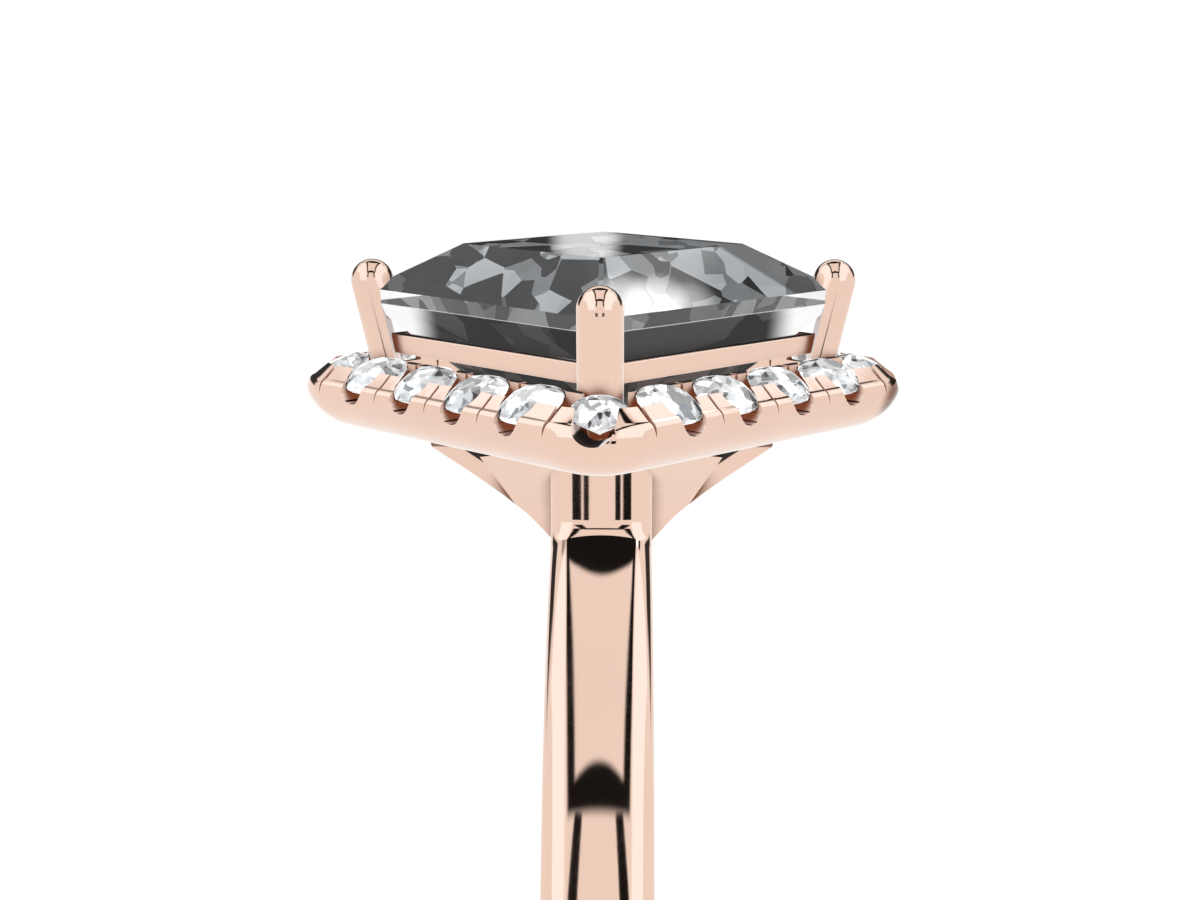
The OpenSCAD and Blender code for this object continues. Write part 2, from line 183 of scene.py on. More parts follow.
# %% The band's path and its domed outline
RISER_TOP_Z = HALO_Z + 0.12
DOME, EDGE, EDGE_FALL = 0.16, 0.4, 0.75


def band_outside(steps):
    """The outside path on the right, from the top: down the riser, along its hollow curve, then
    the circle to the bottom. Each point comes with the direction that points into the metal."""
    across = RISER_X + RISER_CURVE
    lift = math.sqrt((BAND_R + RISER_CURVE) ** 2 - across**2)
    touch = math.atan2(lift, across)
    rise = np.linspace(RISER_TOP_Z, lift, 12, endpoint=False)
    turn = np.linspace(0, touch, 40, endpoint=False)
    circle = np.linspace(touch, -math.pi / 2, steps)
    x = np.concatenate([
        np.full_like(rise, RISER_X), across - RISER_CURVE * np.cos(turn), BAND_R * np.cos(circle)])
    z = np.concatenate([rise, lift - RISER_CURVE * np.sin(turn), BAND_R * np.sin(circle)])
    inward_x = np.concatenate([np.full_like(rise, -1.0), -np.cos(turn), -np.cos(circle)])
    inward_z = np.concatenate([np.zeros_like(rise), -np.sin(turn), -np.sin(circle)])
    return np.stack([x, z, inward_x, inward_z], axis=-1)


def dome_across(count):
    """Depth below the crown and place across the band: DOME times the square of the place, and
    from EDGE off each side an arc that starts at that slope and ends upright."""
    flat = BAND_HALF - EDGE
    y = np.linspace(-flat, flat, count)
    first = math.atan(2 * DOME * flat / EDGE_FALL)
    a = np.linspace(first, math.pi / 2, 20)[1:]
    grow = EDGE / (1 - math.sin(first))
    fall = DOME * flat**2 + grow * EDGE_FALL * (math.cos(first) - np.cos(a))
    side = flat + grow * (np.sin(a) - math.sin(first))
    depth = np.concatenate([fall[::-1], DOME * y**2, fall])
    return depth, np.concatenate([-side[::-1], y, side])


print("the outside falls, mm, from edge to edge:", dome_across(3)[0][::10].round(3).tolist())

# %% [markdown]
# The domed outside is carried along the path on the right and along its mirror image on the left,
# and a bridge closes the path under the stone. The flat inside could have a path of its own, but
# it follows the finger hole at the same angles, so each ring of points runs over the outside and
# back over the inside, and closes by itself.

# %% The band in one skin
BRIDGE_R, BRIDGE_TURN, RISER_IN = 9.96, 12.2, 2.4
BACK_ROUND = 0.1
right = band_outside(150)
left = right[::-1] * [-1, 1, -1, 1]
top = np.radians(np.linspace(90 + BRIDGE_TURN, 90 - BRIDGE_TURN, 24))
bridge = np.stack([BRIDGE_R * np.cos(top), BRIDGE_R * np.sin(top), -np.cos(top), -np.sin(top)], axis=-1)
path = np.vstack([right, left[1:], [[-RISER_IN, RISER_TOP_Z, -0.1, -1]], bridge,
                  [[RISER_IN, RISER_TOP_Z, 0.1, -1]]])
depth, across = dome_across(25)
outer = np.stack([path[:, 0, None] + depth * path[:, 2, None],
                  np.broadcast_to(across, (len(path), len(across))),
                  path[:, 1, None] + depth * path[:, 3, None]], axis=-1)
angle = np.arctan2(path[:, 1], path[:, 0])
back_r = FINGER_R + BACK_ROUND * np.array([1, 0, 0, 1])
back_y = BAND_HALF * np.array([1, 1, -1, -1]) - BACK_ROUND * np.array([0, 1, -1, 0])
inner = np.stack([back_r * np.cos(angle)[:, None], np.broadcast_to(back_y, (len(path), 4)),
                  back_r * np.sin(angle)[:, None]], axis=-1)
band = new_mesh("band", *skin(np.concatenate([outer, inner], axis=1), loop=True))
print("band: rings", len(path), "points across", len(across) + 4)

# %% [markdown]
# The cup is four petals cut from one tapered form, square from above. Each petal is a plate
# whose outside follows the cup's side view. Low down its edges meet the neighbours' at a mitre;
# above that the windows leave each petal two straight edges that flare outward. At the top it
# is trimmed to the halo's inside. Working out the half width at every height gives all of that
# without cutting anything.

# %% The four petals of the cup
CUP_SIDE = [[0.85, 8.6], [0.98, 8.68], [1.24, 9.03], [1.52, 9.40], [1.88, 9.78], [2.55, 10.34],
            [3.32, HALO_Z]]
RIM_SLOPE, RIM_RISE = 0.78, 0.62
WINDOW_Z, WINDOW_EDGE, WINDOW_FLARE = 9.83, 1.84, math.radians(24)


def petal(wall=0.55):
    """Rings of one petal: at each height an outside line at distance h and an inside line at
    h - wall, each as wide as h or as the window's edge, whichever is less."""
    side = curve_through(CUP_SIDE, 8)
    rise = np.linspace(0.05, RIM_RISE, 6)[:, None]
    side = np.vstack([side, CUP_SIDE[-1] + rise * [1 / RIM_SLOPE, 1]])
    h, z = side.T
    edge = WINDOW_EDGE + (z - WINDOW_Z) * math.tan(WINDOW_FLARE)
    trim = np.where(z > HALO_Z + 0.05, HALO_IN * DIAGONAL + 0.1 - h, np.inf)
    half_out = np.minimum(np.minimum(h, edge), trim)
    half_in = np.minimum(np.minimum(h - wall, edge), trim)
    places = [(h, -half_out), (h, half_out), (h - wall, half_in), (h - wall, -half_in)]
    return np.stack([np.stack([x, y, z], axis=-1) for x, y in places], axis=1)


petals = [skin(turned(petal(), quarter)) for quarter in (0, 90, 180, 270)]
cup = new_mesh("cup", *joined(petals))
print("cup: faces", len(cup.data.polygons))

# %% [markdown]
# The rail is a thin square frame below the stone's girdle, soldered between the claws. Its
# inside slopes like the stone above it. Four bars could meet at its corners, but one outline
# carried round the square gives the mitres by itself. The path has only four stations, and an
# offset from the rail's side moves all four corners out along the diagonals.

# %% The square rail
def square_path(offset, z):
    """Four stations at the corners of a square that stands corner to the front: the corner
    distance is the half side plus the offset, times the root of two."""
    reach = (RAIL_HALF + np.asarray(offset)) * DIAGONAL
    a = np.radians([0, 90, 180, 270])[:, None]
    return np.stack([reach * np.cos(a), reach * np.sin(a), np.broadcast_to(z, (4, len(z)))], axis=-1)


RAIL_TOP_WIDE, RAIL_FOOT_WIDE, RAIL_ROUND = 0.26, 0.52, 0.05
soft = np.radians(np.linspace(0, 90, 5))
go, come = RAIL_ROUND * (1 - np.sin(soft)), RAIL_ROUND * (1 - np.cos(soft))
rail_outline = np.vstack([
    np.stack([-come, RAIL_TOP_Z - go], axis=-1),
    np.stack([-RAIL_TOP_WIDE + go, RAIL_TOP_Z - come], axis=-1),
    [[-RAIL_FOOT_WIDE, RAIL_Z]],
    np.stack([-go, RAIL_Z + come], axis=-1)])
rail = new_mesh("rail", *skin(square_path(*rail_outline.T), loop=True))
print("rail: faces", len(rail.data.polygons))

# %% [markdown]
# The halo starts as a plain square bar with rounded corners and a swollen outer wall, bent and
# soldered. Then the setter cuts it: a seat for each stone, a round-bottomed notch outside each
# one, and fine saw cuts that split the metal between stones into tabs. The notches run through
# the wall, so a smooth bar is made first, and four sets of cutters are taken from it in turn.

# %% The uncut bar of the halo
WALL = [[0, 0], [0.077, 0.048], [0.136, 0.12], [0.17, 0.264], [0.153, 0.396], [0.099, 0.516],
        [0.017, 0.648], [-0.102, 0.78], [-0.255, 0.9], [-0.442, 1.008], [-0.714, 1.104],
        [HALO_IN - HALO_OUT, 1.2]]
CORNER_R = 1.4
CORNER_AT = HALO_OUT - CORNER_R


def rounded_square(offset, z, straight=24, bend=24):
    """Stations round a square with rounded corners: on a side the distance is the half side plus
    the offset, and round a corner it turns about the corner's centre at its radius plus the same."""
    along = np.linspace(-CORNER_AT, CORNER_AT, straight, endpoint=False)[:, None]
    out = np.broadcast_to(HALO_OUT + offset, (straight, len(offset)))
    side = np.stack([out, np.broadcast_to(along, out.shape)], axis=-1)
    a = np.radians(np.linspace(0, 90, bend, endpoint=False))[:, None]
    reach = CORNER_R + offset
    corner = np.stack([CORNER_AT + reach * np.cos(a), CORNER_AT + reach * np.sin(a)], axis=-1)
    quarter = np.concatenate([side, corner])
    up = np.broadcast_to(z[None, :, None], quarter.shape[:2] + (1,))
    quarter = np.concatenate([quarter, up], axis=-1)
    return np.concatenate([turned(quarter, 90 * k) for k in range(4)])


BED_Z, TAB_Z = 12.1, CREASE_Z + 0.23
INNER_EDGE, LEDGE, TAB = HALO_IN - HALO_OUT, 0.2, 0.26
wall = curve_through(WALL, 4) * [1, -1] + [0, CREASE_Z]
halo_outline = np.vstack([
    [[INNER_EDGE, RIM_Z], [INNER_EDGE + LEDGE, RIM_Z], [INNER_EDGE + LEDGE, BED_Z]],
    [[-TAB, BED_Z], [-TAB, TAB_Z]], wall])
bar = skin(turned(rounded_square(*halo_outline[::-1].T), 45), loop=True)
halo = new_mesh("halo_frame", *bar)
print("halo: points across", len(halo_outline), "faces", len(halo.data.polygons))

# %% [markdown]
# A setter marks the halo with dividers before any metal is cut. Twenty places are shared out
# along it: one at each corner, and four evenly between two corners. Each cutter could be drawn in
# its place, but it is drawn once, at the origin with X pointing straight out, and copied to each
# place with the same turn and shift, so every seat comes out alike.

# %% Where the small stones sit
SMALL_TILT, SMALL_R, CORNER_STONE_R = math.radians(23), 0.65, 0.55
SMALL_LIFT, ROW_IN = 0.08, 0.52
SMALL_Z, ROW = CREASE_Z + SMALL_LIFT, HALO_OUT - ROW_IN
CORNER_REACH = ROW * DIAGONAL - (CORNER_R - ROW_IN) * (DIAGONAL - 1)
PITCH = CORNER_REACH * DIAGONAL / 5
seats = [(90 * side - 135, ROW, (k - 1.5) * PITCH, False) for side in range(4) for k in range(4)]
seats += [(90 * side - 90, CORNER_REACH - (SMALL_R - CORNER_STONE_R), 0.0, True) for side in range(4)]


def at_seat(points, seat):
    """Moves points from the origin to a stone's place, then turns them to its side."""
    return turned(points + np.array([seat[1], seat[2], SMALL_Z]), seat[0])


def prism(outline, low, high):
    """An outline in Y and Z carried straight along X."""
    outline = np.asarray(outline, float)
    return np.stack([np.insert(outline, 0, x, axis=1) for x in (low, high)])


print("places for stones:", len(seats), "pitch, mm:", round(PITCH, 3))

# %% [markdown]
# A notch is half a round with straight sides above it, a slit is a thin V, and a seat is turned
# on a lathe: a hole for light, a cone for the stone's point, a short straight wall at its
# widest and a cone above. Each set has copies that stay clear of each other, because the fast
# solver wants clean closed forms.

# %% Cutters for notches, slits and seats
half_round = np.radians(np.linspace(180, 360, 33))
NOTCH_DEEP, NOTCH_HALF, CORNER_NOTCH_HALF, CORNER_NOTCH_TURN = 0.41, 0.32, 0.4, -10
SLIT_DEEP, SLIT, CORNER_SLIT = 0.3, 0.06, 0.1
LIGHT_HOLE_R, SEAT_GAP = 0.25, 0.03
CONE, GIRDLE, CROWN, TABLE = 0.86, 0.08, 0.31, 0.6


def notch(half):
    """A round bottom NOTCH_DEEP below the crease, as wide as asked, with straight sides above it."""
    z = half - NOTCH_DEEP - SMALL_LIFT
    bottom = np.stack([half * np.cos(half_round), z + half * np.sin(half_round)], axis=-1)
    return prism(np.vstack([bottom, [[half, 1.5], [-half, 1.5]]]), 0.0, 2.0)


def gate(half):
    """The straight way from a notch across the inner rim, from the stone's middle up."""
    return prism([[-half, 0], [half, 0], [half, 1.5], [-half, 1.5]], -1.5, 0.3)


def slit(width):
    """A V that is open above and ends SLIT_DEEP below the crease."""
    outline = [[0, -SLIT_DEEP], [width / 2, 0], [width, 1], [-width, 1], [-width / 2, 0]]
    return prism(np.array(outline) - [0, SMALL_LIFT], -1.5, 1.5)


def lathe(profile, count=40):
    """Rings of a turned form: each radius of the profile swept once round at its height."""
    radius, height = np.asarray(profile, float).T[:, :, None]
    a = np.linspace(0, 2 * np.pi, count, endpoint=False)
    return np.stack(np.broadcast_arrays(radius * np.cos(a), radius * np.sin(a), height), axis=-1)


def tipped(points):
    """Leans points outward about Y by the stones' tilt."""
    x, y, z = np.moveaxis(points, -1, 0)
    s, c = math.sin(SMALL_TILT), math.cos(SMALL_TILT)
    return np.stack([x * c + z * s, y, z * c - x * s], axis=-1)


def seat_hole(r):
    """The hollow for one stone and its light hole. The stone's own heights, and its table's
    width, are given as shares of its radius."""
    wide, deep, top = r + SEAT_GAP, r * CONE + SEAT_GAP, r * GIRDLE + SEAT_GAP
    return tipped(lathe([
        [LIGHT_HOLE_R, -deep - 1.5], [LIGHT_HOLE_R, deep * (LIGHT_HOLE_R / wide - 1)], [wide, 0],
        [wide, top], [wide * TABLE, top + r * CROWN]]))


def for_stones(form, size, corner_size, turn=0):
    """One cutter at every stone's place: its form takes one size on a side and another at a
    corner, where it's turned a little as well."""
    at_side, at_corner = form(size), turned(form(corner_size), turn)
    return [skin(at_seat(at_corner if corner else at_side, place)) for *place, corner in seats]


notches = for_stones(notch, NOTCH_HALF, CORNER_NOTCH_HALF, CORNER_NOTCH_TURN)
gates = for_stones(gate, NOTCH_HALF, CORNER_NOTCH_HALF, CORNER_NOTCH_TURN)
holes = for_stones(seat_hole, SMALL_R, CORNER_STONE_R)
side_end = CORNER_AT + 0.1
side_slits = [(-PITCH, SLIT), (0, SLIT), (PITCH, SLIT)]
side_slits += [(-side_end, CORNER_SLIT), (side_end, CORNER_SLIT)]
slits = [skin(at_seat(slit(width), (90 * side - 135, ROW, y)))
         for side in range(4) for y, width in side_slits]
print("cutters:", len(notches), len(gates), len(holes), len(slits))

# %% [markdown]
# The setter saws, drills and files, one kind of cut after another. All cutters could be joined to
# one form first, but they cross each other, which the fast solver doesn't allow. So one set is
# one mesh, one Boolean difference takes it away, and the result replaces the piece's mesh, so the
# next set meets clean faces again.

# %% Cutting
def cut(piece, cutter_sets):
    """Takes each set of cutters from the piece with a Boolean modifier, and keeps the result."""
    for number, cutters in enumerate(cutter_sets):
        tool = new_mesh("cutter", *joined(cutters))
        cutting = piece.modifiers.new("cut", "BOOLEAN")
        cutting.operation, cutting.object, cutting.solver = "DIFFERENCE", tool, "MANIFOLD"
        cut_piece = piece.evaluated_get(bpy.context.evaluated_depsgraph_get())
        result = bpy.data.meshes.new_from_object(cut_piece)
        piece.modifiers.clear()
        piece.data = result
        bpy.data.objects.remove(tool)
        print(" ", piece.name, "after set", number + 1, "faces", len(result.polygons))


cut(halo, [notches, gates, holes, slits])

# %% [markdown]
# A claw is a round wire with a domed end that leans outward. From the girdle down its inner side
# is filed flat, and above that a notch takes the stone's corner. Moving points by hand could give
# both, but the wire is turned on the same lathe as the seats and cut in the same way. The hollow
# for the stone is the stone's own form, a hair larger, drawn with only a few faces.

# %% The four claws
CLAW_R, CLAW_LEAN = 0.44, math.radians(13)
CLAW_TOP_Z, CLAW_FOOT_Z = TABLE_Z - 0.32, HALO_Z + 0.3
FLAT_AT, STONE_GAP = 0.12, 0.015
claw_x, claw_z = RAIL_HALF * DIAGONAL, (RAIL_Z + RAIL_TOP_Z) / 2
claw_top = (CLAW_TOP_Z - CLAW_R - claw_z) / math.cos(CLAW_LEAN)
claw_foot = (CLAW_FOOT_Z - claw_z) / math.cos(CLAW_LEAN)
dome = np.radians(np.linspace(0, 88, 24))
straight = np.linspace(claw_foot, claw_top, 12, endpoint=False)
wire = np.vstack([np.stack([np.full_like(straight, CLAW_R), straight], axis=-1),
                  np.stack([CLAW_R * np.cos(dome), claw_top + CLAW_R * np.sin(dome)], axis=-1)])


def leaned(points):
    """Leans a claw outward along X and sets it at the rail's corner."""
    x, y, z = np.moveaxis(points, -1, 0)
    s, c = math.sin(CLAW_LEAN), math.cos(CLAW_LEAN)
    return np.stack([claw_x + x * c + z * s, y, claw_z + z * c - x * s], axis=-1)


def square_block(squares):
    """A stack of squares that stand corner to the front, each with its half side and height."""
    a = np.radians([0, 90, 180, 270])
    half, z = np.array(squares).T[:, :, None]
    reach = half * DIAGONAL
    return np.stack(np.broadcast_arrays(reach * np.cos(a), reach * np.sin(a), z), axis=-1)


flat_top = (GIRDLE_Z - claw_z) / math.cos(CLAW_LEAN)
flat = leaned(prism([[-1, claw_foot - 1], [1, claw_foot - 1], [1, flat_top], [-1, flat_top]],
                    -1 - FLAT_AT, -FLAT_AT))
hollow = square_block([(2.86, GIRDLE_Z - 0.72), (3.53, GIRDLE_Z - STONE_GAP),
                       (3.53, GIRDLE_TOP_Z + STONE_GAP), (1.82, 14.984)])
claws = []
for number, quarter in enumerate((0, 90, 180, 270)):
    claw = new_mesh(f"claw_{number + 1}", *skin(turned(leaned(lathe(wire, 72)), quarter)))
    cut(claw, [[skin(turned(flat, quarter))], [skin(hollow)]])
    claws.append(claw)

# %% [markdown]
# Metal that was cast and polished has no hard folds along its curves, but it does have real
# edges. A bevel on every edge would round them, but it has no room between cuts as fine as these.
# So faces are shaded smooth, and an edge stays sharp where two faces meet at more than the given
# angle.

# %% Smooth shading, and the pieces take over from the plain solid
def finish_metal(piece, angle):
    """Checks the mesh, shades it smooth below the angle, and hangs the piece on the ring's one
    body."""
    piece.data.validate()
    piece.data.shade_smooth()
    piece.data.set_sharp_from_angle(angle=math.radians(angle))
    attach(piece, "root")


metal = [band, cup, rail, halo, *claws]
for piece in metal:
    finish_metal(piece, 24 if piece == rail else 32)
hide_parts("gold_mounting")
print("metal pieces:", len(metal))

# %% [markdown]
# ## Materials
#
# Long sums are hard to read as boxes and wires. This small class wraps one output, so a sum on it
# can be written as plain arithmetic, and each sign adds one Math node.

# %% Shader sums as Python
class Socket:
    """One output of a node, with arithmetic."""

    def __init__(self, nodes, output):
        self.nodes, self.output = nodes, output

    def math(self, operation, *others):
        """One Math node on this output and the other values, in that order."""
        values = dict(enumerate((self, *others)))
        return self.nodes.add("ShaderNodeMath", {"operation": operation}, values)

    def __add__(self, other):
        return self.math("ADD", other)

    def __sub__(self, other):
        return self.math("SUBTRACT", other)

    def __rsub__(self, other):
        """A value less this output: the output times -1, plus the value."""
        return self.math("MULTIPLY_ADD", -1.0, other)

    def __mul__(self, other):
        return self.math("MULTIPLY", other)

    __radd__, __rmul__ = __add__, __mul__


class Nodes:
    """A node tree that starts empty, with one method for every node."""

    def __init__(self, tree):
        self.tree = tree
        tree.nodes.clear()

    def add(self, kind, settings=None, inputs=None, output=0):
        """Adds a node: its settings first, then each socket's value or link."""
        node = self.tree.nodes.new(kind)
        for name, value in (settings or {}).items():
            setattr(node, name, value)
        for name, value in (inputs or {}).items():
            value = value.output if isinstance(value, Socket) else value
            if isinstance(value, bpy.types.NodeSocket):
                self.tree.links.new(value, node.inputs[name])
            else:
                node.inputs[name].default_value = value
        return Socket(self, node.outputs[output]) if node.outputs else node

    def smooth(self, value, start, end, low=0.0, high=1.0):
        """A soft step from low to high while the value goes from start to end."""
        return self.add("ShaderNodeMapRange", {"interpolation_type": "SMOOTHSTEP"}, {
            "Value": value, "From Min": start, "From Max": end, "To Min": low, "To Max": high})

    def mix(self, factor, a, b):
        """A colour between two colours."""
        return self.add("ShaderNodeMix", {"data_type": "RGBA"}, {0: factor, 6: a, 7: b}, 2)


def new_material(name):
    """A material with an empty node tree."""
    material = bpy.data.materials.new(name)
    material.use_nodes = True
    return material, Nodes(material.node_tree)


print("a Socket takes:", "+ - * and any other Math node by its name")

# %% [markdown]
# Polished rose gold is mostly what it mirrors. What makes it read as metal that was made by hand
# is very small: faint waves left by the polishing wheel, hair-fine marks, and a little more haze
# in some places than in others. All of it is read from Object coordinates. In notches and
# corners less light comes in, and what does bounces from gold to gold and turns a deep red-brown.
# That shade is painted into the base colour: a node that measures how open a place is, within
# 0.6 mm, darkens them to a deep red-brown.

# %% Rose gold
def rose_gold(name, colour, haze, wave):
    """Polished metal of a colour, with a least roughness and a height for its faint waves."""
    material, n = new_material(name)
    place = n.add("ShaderNodeTexCoord", output=3)
    cloud = n.add("ShaderNodeTexNoise", None, {"Vector": place, "Scale": 260.0, "Detail": 2.0})
    drawn_out = n.add("ShaderNodeMapping", None, {"Vector": place, "Scale": (1.0, 0.12, 1.0)})
    scratch = n.add("ShaderNodeTexNoise", None, {"Vector": drawn_out, "Scale": 9000.0, "Detail": 1.0})
    soft = n.smooth(cloud, 0.35, 0.7)
    colour_and_painted_light = n.mix(soft, (*colour, 1), (*(c * 0.965 for c in colour), 1))
    # painted shade: recesses within 0.6 mm of other metal are darkened to a deep red-brown in the base
    # colour
    open_sky = n.add("ShaderNodeAmbientOcclusion", {"samples": 8}, {"Distance": 0.0006}, 1)
    colour_and_painted_light = n.mix(n.smooth(open_sky, 0.3, 0.78), (0.15, 0.035, 0.012, 1), colour_and_painted_light)
    waves = cloud * 2 + scratch * 0.15
    bump = n.add("ShaderNodeBump", None, {"Strength": wave, "Distance": 0.00001, "Height": waves})
    rough = soft * 0.035 + scratch * 0.03 + haze
    shader = n.add("ShaderNodeBsdfPrincipled", None, {
        "Base Color": colour_and_painted_light, "Metallic": 1.0, "Roughness": rough, "Normal": bump})
    n.add("ShaderNodeOutputMaterial", None, {"Surface": shader})
    return material


gold = rose_gold("rose_gold", colour=(0.835, 0.60, 0.485), haze=0.03, wave=0.05)
for piece in metal:
    piece.data.materials.clear()
    piece.data.materials.append(gold)
print("material:", gold.name)

# %% [markdown]
# A cut stone shows patches of light and dark with straight edges, because each facet mirrors a
# different place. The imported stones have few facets, so the patches come from a pattern instead:
# every point of space belongs to the nearest of many scattered points, and each such cell has
# its own even grey. Cells meet in planes, so a facet cuts them in straight lines.

# %% Cells of grey
def cells(n, place, size):
    """A grey from 0 to 1 that is even within each cell: 0.65 of one pattern with cells of the
    given size in metres, and 0.35 of another with smaller cells, so their edges cross."""
    levels = []
    for share, shift in ((1.0, 0.0), (1.7, 0.4)):
        moved = n.add("ShaderNodeMapping", None, {"Vector": place, "Location": (shift, shift, 0.0)})
        colour = n.add("ShaderNodeTexVoronoi", None, {"Vector": moved, "Scale": share / size}, 1)
        levels.append(n.add("ShaderNodeSeparateColor", None, {0: colour}))
    return levels[0] * 0.65 + levels[1] * 0.35


def grey(level):
    """A grey that is a little cooler than neutral."""
    return (level, level * 1.01, level * 1.02, 1)


print("a pale grey:", grey(0.9))

# %% [markdown]
# The smoky stone is clear above its girdle, with a smoky tint that follows the cells too, as
# painted lighter and darker patches. Below it, light should be sent back up by dozens of small
# facets, so there the cells are painted on as three even greys, nearly black, middle and pale:
# painted reflections. They are seen from inside, through the clear top, which bends and splits
# them. Between the rail and the girdle they are painted darker, as shade. Seen from outside, the
# same faces are painted almost black, as shade, with a painted white glint that glows at the
# stone's left and right ends. A node tells the inner side of a face from its outer one.

# %% The smoky stone
def lying(direction):
    """A standing direction as it lies, as a plain unit vector."""
    v = laid_down(np.array(direction, float)) * 1000
    return tuple((v / np.linalg.norm(v)).tolist())


def standing(n, place, direction):
    """How far a point of the lying stone is along a standing direction: the dot product of the
    two, times 1000 for millimetres."""
    both = {0: place, 1: lying(direction)}
    return n.add("ShaderNodeVectorMath", {"operation": "DOT_PRODUCT"}, both, 1) * 1000


smoky, n = new_material("smoky_stone")
place = n.add("ShaderNodeTexCoord", output=3)
level = cells(n, place, size=0.0012)
along_finger, up = standing(n, place, (0, 1, 0)), standing(n, place, (0, 0, 1))
below = n.smooth(up, GIRDLE_Z - 0.02, GIRDLE_Z, 1.0, 0.0)
rim = n.smooth(up, RAIL_TOP_Z - 0.08, RAIL_TOP_Z + 0.02)
ends = n.smooth(along_finger.math("ABSOLUTE"), 3.3, 4.0) * below * rim
dark, middle, pale = grey(0.015), grey(0.42), grey(0.95)
# painted reflections: the cells as three even greys
painted_light_and_shade = n.mix(n.smooth(level, 0.41, 0.42), dark, middle)
painted_light_and_shade = n.mix(n.smooth(level, 0.57, 0.58), painted_light_and_shade, pale)
inner_side = n.add("ShaderNodeNewGeometry", output=6)
# painted shade: darker between the rail and the girdle, and almost black seen from outside
painted_light_and_shade = n.mix(rim * 0.6, painted_light_and_shade, dark)
painted_light_and_shade = n.mix((1 - inner_side) * 0.85, painted_light_and_shade, grey(0.01))
# painted glint: a white glow at the stone's left and right ends, seen from outside
painted_glint = n.mix(ends * (1 - inner_side), (0, 0, 0, 1), (0.9, 0.9, 0.9, 1))
# the smoky tint, with painted lighter and darker patches from the cells
smoke_and_painted_patches = n.mix(n.smooth(level, 0.3, 0.7), grey(0.78), grey(0.98))
clear = n.add("ShaderNodeBsdfPrincipled", None, {
    "Base Color": smoke_and_painted_patches, "Roughness": 0.0, "IOR": 1.65, "Transmission Weight": 0.97})
painted = n.add("ShaderNodeBsdfPrincipled", None, {
    "Base Color": painted_light_and_shade, "Metallic": 0.0, "Roughness": 0.05, "IOR": 1.12,
    "Emission Color": painted_glint, "Emission Strength": 1.0})
whole = n.add("ShaderNodeMixShader", None, {0: below, 1: clear, 2: painted})
n.add("ShaderNodeOutputMaterial", None, {"Surface": whole})
print("smoky stone: nodes", len(smoky.node_tree.nodes))

# %% [markdown]
# The small stones are white and only a millimetre wide, so they read as glitter. Their facets
# could be left to bend and mirror the light alone, but at this size that gives mostly speckles.
# So dark, pale and white cells are painted on as their reflections, with a strong shine on top,
# and a few cells glow a little, a painted glint, as a facet does when it sends a lamp straight back.

# %% The white stones
white, n = new_material("white_stone")
level = cells(n, n.add("ShaderNodeTexCoord", output=3), size=0.0003)
# painted reflections: dark, pale and white cells
colour_and_painted_light = n.mix(n.smooth(level, 0.3, 0.34), grey(0.08), grey(0.7))
colour_and_painted_light = n.mix(n.smooth(level, 0.5, 0.54), colour_and_painted_light, (1, 1, 1, 1))
# painted glint: the brightest cells glow a little
painted_sparkle = n.mix(n.smooth(level, 0.64, 0.66), (0, 0, 0, 1), (0.6, 0.6, 0.6, 1))
glitter = n.add("ShaderNodeBsdfPrincipled", None, {
    "Base Color": colour_and_painted_light, "Roughness": 0.0, "IOR": 1.9, "Transmission Weight": 0.4,
    "Coat Weight": 1.0, "Coat IOR": 1.7, "Coat Roughness": 0.0,
    "Emission Color": painted_sparkle, "Emission Strength": 1.0})
n.add("ShaderNodeOutputMaterial", None, {"Surface": glitter})

for name, stone in nodes.items():
    if name != "gold_mounting":
        stone.data.materials.clear()
        stone.data.materials.append(smoky if name == "center_stone" else white)
print("stones with a material:", sum(name != "gold_mounting" for name in nodes))

# %% [markdown]
# One polished piece mirrors the next. The photograph's metal mirrors only the studio: no halo is
# seen in the band and no stone in a claw, and no placing of lamps takes such reflections away. So
# the pieces are hidden from rays that a shine sends out, and the tint above stands for the light
# between them.

# %% Pieces that don't mirror each other
for piece in (*metal, *nodes.values()):
    piece.visible_glossy = False
print("pieces left out of reflections:", len(metal) + len(nodes))

# %% [markdown]
# ## Floor, light and camera
#
# Jewellery is photographed in a white tent: light comes from nearly everywhere, a few dark cards
# give the metal its crisp black lines, and the ground burns out to white. Here the tent is the
# world itself, painted by direction. The camera sees plain white in its place. The paper floor
# glows a little, as paper does when it is lit from all sides, and neither metal nor stones
# mirror it, so that its edge draws no line across the band.

# %% The floor
floor_z = cad_box[0][2] - 0.00002
corners = [(-3, -3, floor_z), (3, -3, floor_z), (3, 3, floor_z), (-3, 3, floor_z)]
sheet = bpy.data.meshes.new("floor")
sheet.from_pydata(corners, [], [(0, 1, 2, 3)])
floor = bpy.data.objects.new("floor", sheet)
bpy.context.scene.collection.objects.link(floor)
floor.visible_glossy = False
floor.visible_transmission = False
paper, n = new_material("white_paper")
glow = n.add("ShaderNodeEmission", None, {"Color": (1, 1, 1, 1), "Strength": 1.12})
matt = n.add("ShaderNodeBsdfPrincipled", None, {"Base Color": (0.93, 0.93, 0.93, 1), "Roughness": 0.9})
lit = n.add("ShaderNodeMixShader", None, {0: 0.86, 1: matt, 2: glow})
n.add("ShaderNodeOutputMaterial", None, {"Surface": lit})
floor.data.materials.append(paper)
print("floor at, mm:", round(floor_z * 1000, 3))

# %% [markdown]
# In a studio the cards stand round the ring on wires. They could be planes here, but each would
# need its own place, turn and size. A direction of view is measured against the standing ring
# instead, as angles in degrees, so the tent's cards keep their place round it as it lies, and
# each card is a product of soft steps on those angles.

# %% Angles round the ring
world = bpy.data.worlds.new("white_tent")
bpy.context.scene.world = world
world.use_nodes = True
n = Nodes(world.node_tree)
look = n.add("ShaderNodeTexCoord")


